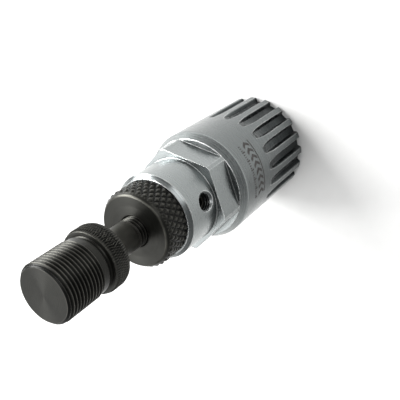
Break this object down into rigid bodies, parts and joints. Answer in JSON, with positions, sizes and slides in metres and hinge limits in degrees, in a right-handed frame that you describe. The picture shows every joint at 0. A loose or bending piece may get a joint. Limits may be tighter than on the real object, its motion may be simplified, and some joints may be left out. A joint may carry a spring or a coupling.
{
  "type": "bottom bracket tool",
  "caption": "Splined bottom-bracket tool with spanner flats, a square drive hole, a knurled clamp nut and a double-ended retaining bolt.",
  "frame": {"origin": "centre of the splined end face, on which the tool stands", "axes": "+Z along the tool's axis from the splined end to the spindle adapter; -Y through the grub screw and one spanner flat"},
  "size_m": [0.0322, 0.0322, 0.098],
  "materials": {
    "plated_steel": "turned and satin nickel plated",
    "black_oxide_steel": "turned, knurled and blackened with an oiled oxide",
    "hardened_washer_steel": "ground and hardened"
  },
  "bodies": {
    "body": {"tool_body": "plated_steel", "grub_screw": "black_oxide_steel"},
    "washer": {"thrust_washer": "hardened_washer_steel"},
    "nut": {"clamp_nut": "black_oxide_steel"},
    "bolt": {"threaded_rod": "black_oxide_steel", "spindle_adapter": "black_oxide_steel"}
  },
  "joints": [
    {"name": "bolt_lift", "type": "slide", "parent": "body", "child": "washer", "axis": [0, 0, 1], "range_m": [0, 0.035]},
    {"name": "nut_spin", "type": "hinge", "parent": "washer", "child": "nut", "pos_m": [0, 0, 0.0627], "axis": [0, 0, 1], "range_deg": [-10080, 1044]},
    {"name": "bolt_draw", "type": "slide", "parent": "washer", "child": "bolt", "axis": [0, 0, 1], "range_m": [-0.003, 0.0281]}
  ],
  "couplings": [
    {"joint": "bolt_draw", "follows": "nut_spin", "m_per_rad": -0.00015915}
  ]
}
